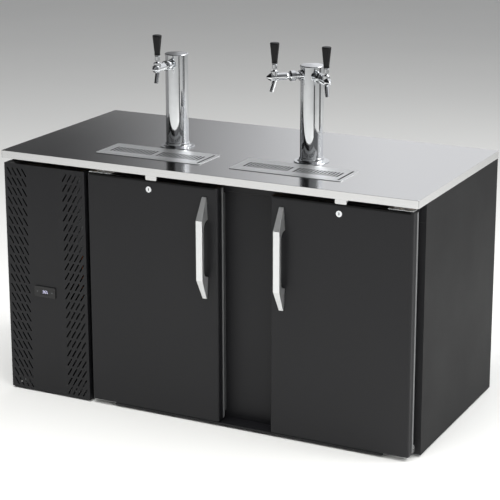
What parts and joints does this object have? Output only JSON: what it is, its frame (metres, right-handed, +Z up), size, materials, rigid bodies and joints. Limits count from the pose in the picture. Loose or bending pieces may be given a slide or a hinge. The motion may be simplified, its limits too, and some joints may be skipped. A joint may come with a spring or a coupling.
{
  "type": "direct draw beer dispenser",
  "caption": "Low keg cooler that draws beer from kegs inside: hinged doors with bow handles, a louvred machine compartment, a stainless worktop, column towers with taps and flush drip trays.",
  "frame": {"origin": "middle of the footprint, on the floor", "axes": "+X to the right along the width, -Y to the front where the doors are, +Z up"},
  "size_m": [1.499, 0.765, 1.2486],
  "materials": {
    "black_vinyl_steel": "satin",
    "vinyl_door": "satin",
    "galvanised_steel": "satin",
    "stainless_steel": "brushed",
    "chromed_brass": "polished",
    "satin_zinc": "satin",
    "black_plastic": "gloss",
    "black_frame_plastic": "matte",
    "white_plastic": "matte",
    "grey_plastic": "matte",
    "black_rubber": "matte",
    "grey_rubber": "matte",
    "rigid_foam": "matte",
    "board_core": "matte",
    "aluminium_fin": "satin",
    "copper": "satin",
    "black_enamel": "gloss",
    "clear_hose": "satin"
  },
  "bodies": {
    "cabinet": {"side_panels": "black_vinyl_steel", "back_panel": "galvanised_steel", "base_pan": "galvanised_steel", "levelling_feet": "black_rubber", "foam_insulation": "rigid_foam", "inner_liner": "stainless_steel", "front_frame": "black_frame_plastic", "worktop": "stainless_steel", "worktop_core": "board_core", "drip_pan_left": "stainless_steel", "drip_pan_right": "stainless_steel", "lock_strikes": "galvanised_steel", "hinge_brackets": "galvanised_steel", "louvre_panel": "black_vinyl_steel", "panel_frame": "black_vinyl_steel", "controller_housing": "black_plastic", "unit_base": "galvanised_steel", "compressor": "black_enamel", "condenser_coil": "aluminium_fin", "fan_shroud": "galvanised_steel", "condenser_fan_motor": "black_enamel", "refrigerant_lines": "copper", "evaporator_cover": "aluminium_fin", "evaporator_coil": "aluminium_fin", "evaporator_fan_motor": "galvanised_steel", "tower_column_left": "chromed_brass", "tower_column_right": "chromed_brass", "tower_caps": "chromed_brass", "beer_lines": "clear_hose", "faucet_shanks": "chromed_brass", "shank_nuts": "chromed_brass", "faucet_bodies": "chromed_brass", "lever_bonnets": "chromed_brass"},
    "left_door": {"left_door_panel": "vinyl_door", "left_door_liner": "white_plastic", "left_door_gasket": "grey_rubber", "left_door_handle": "satin_zinc", "left_lock_barrel": "chromed_brass"},
    "right_door": {"right_door_panel": "vinyl_door", "right_door_liner": "white_plastic", "right_door_gasket": "grey_rubber", "right_door_handle": "satin_zinc", "right_lock_barrel": "chromed_brass"},
    "left_lock": {"left_lock_plug": "chromed_brass"},
    "right_lock": {"right_lock_plug": "chromed_brass"},
    "drip_grid_left": {"drip_grid_left": "stainless_steel"},
    "drip_grid_right": {"drip_grid_right": "stainless_steel"},
    "condenser_fan": {"condenser_fan": "grey_plastic"},
    "evaporator_fan": {"evaporator_fan": "white_plastic"},
    "key_left": {"key_left": "grey_plastic"},
    "key_right": {"key_right": "grey_plastic"},
    "tap_lever_1": {"tap_lever_1": "chromed_brass", "tap_handle_1": "black_plastic"},
    "tap_shaft_1": {"tap_shaft_1": "stainless_steel"},
    "tap_lever_2": {"tap_lever_2": "chromed_brass", "tap_handle_2": "black_plastic"},
    "tap_shaft_2": {"tap_shaft_2": "stainless_steel"},
    "tap_lever_3": {"tap_lever_3": "chromed_brass", "tap_handle_3": "black_plastic"},
    "tap_shaft_3": {"tap_shaft_3": "stainless_steel"}
  },
  "joints": [
    {"name": "left_door_hinge", "type": "hinge", "parent": "cabinet", "child": "left_door", "pos_m": [-0.402, -0.3205, 0.411], "axis": [0, 0, -1], "range_deg": [0, 100]},
    {"name": "right_door_hinge", "type": "hinge", "parent": "cabinet", "child": "right_door", "pos_m": [0.7115, -0.3205, 0.411], "axis": [0, 0, 1], "range_deg": [0, 100]},
    {"name": "left_lock_turn", "type": "hinge", "parent": "left_door", "child": "left_lock", "pos_m": [-0.186, -0.3425, 0.776], "axis": [0, 1, 0], "range_deg": [0, 90]},
    {"name": "right_lock_turn", "type": "hinge", "parent": "right_door", "child": "right_lock", "pos_m": [0.486, -0.3425, 0.776], "axis": [0, -1, 0], "range_deg": [0, 90]},
    {"name": "tap_1_pull", "type": "hinge", "parent": "cabinet", "child": "tap_lever_1", "pos_m": [-0.25, -0.1625, 1.154], "axis": [1, 0, 0], "range_deg": [0, 30]},
    {"name": "tap_1_valve", "type": "slide", "parent": "cabinet", "child": "tap_shaft_1", "axis": [0, 1, 0], "range_m": [0, 0.0085]},
    {"name": "tap_2_pull", "type": "hinge", "parent": "cabinet", "child": "tap_lever_2", "pos_m": [0.15949, -0.12501, 1.154], "axis": [0.7071, -0.7071, 0], "range_deg": [0, 30]},
    {"name": "tap_2_valve", "type": "slide", "parent": "cabinet", "child": "tap_shaft_2", "axis": [0.7071, 0.7071, 0], "range_m": [0, 0.0085]},
    {"name": "tap_3_pull", "type": "hinge", "parent": "cabinet", "child": "tap_lever_3", "pos_m": [0.34051, -0.12501, 1.154], "axis": [0.7071, 0.7071, 0], "range_deg": [0, 30]},
    {"name": "tap_3_valve", "type": "slide", "parent": "cabinet", "child": "tap_shaft_3", "axis": [-0.7071, 0.7071, 0], "range_m": [0, 0.0085]},
    {"name": "drip_grid_left_lift", "type": "slide", "parent": "cabinet", "child": "drip_grid_left", "axis": [0, 0, 1], "range_m": [0, 0.06]},
    {"name": "drip_grid_right_lift", "type": "slide", "parent": "cabinet", "child": "drip_grid_right", "axis": [0, 0, 1], "range_m": [0, 0.06]},
    {"name": "condenser_fan_spin", "type": "hinge", "parent": "cabinet", "child": "condenser_fan", "pos_m": [-0.59315, -0.16, 0.1445], "axis": [0, 1, 0], "continuous": true},
    {"name": "evaporator_fan_spin", "type": "hinge", "parent": "cabinet", "child": "evaporator_fan", "pos_m": [-0.305, 0.1505, 0.6506], "axis": [1, 0, 0], "continuous": true},
    {"name": "key_left_press", "type": "slide", "parent": "cabinet", "child": "key_left", "axis": [0, 1, 0], "range_m": [0, 0.001], "stiffness_N_per_m": 300},
    {"name": "key_right_press", "type": "slide", "parent": "cabinet", "child": "key_right", "axis": [0, 1, 0], "range_m": [0, 0.001], "stiffness_N_per_m": 300}
  ],
  "couplings": [
    {"joint": "tap_1_valve", "follows": "tap_1_pull", "m_per_rad": 0.0162},
    {"joint": "tap_2_valve", "follows": "tap_2_pull", "m_per_rad": 0.0162},
    {"joint": "tap_3_valve", "follows": "tap_3_pull", "m_per_rad": 0.0162}
  ]
}
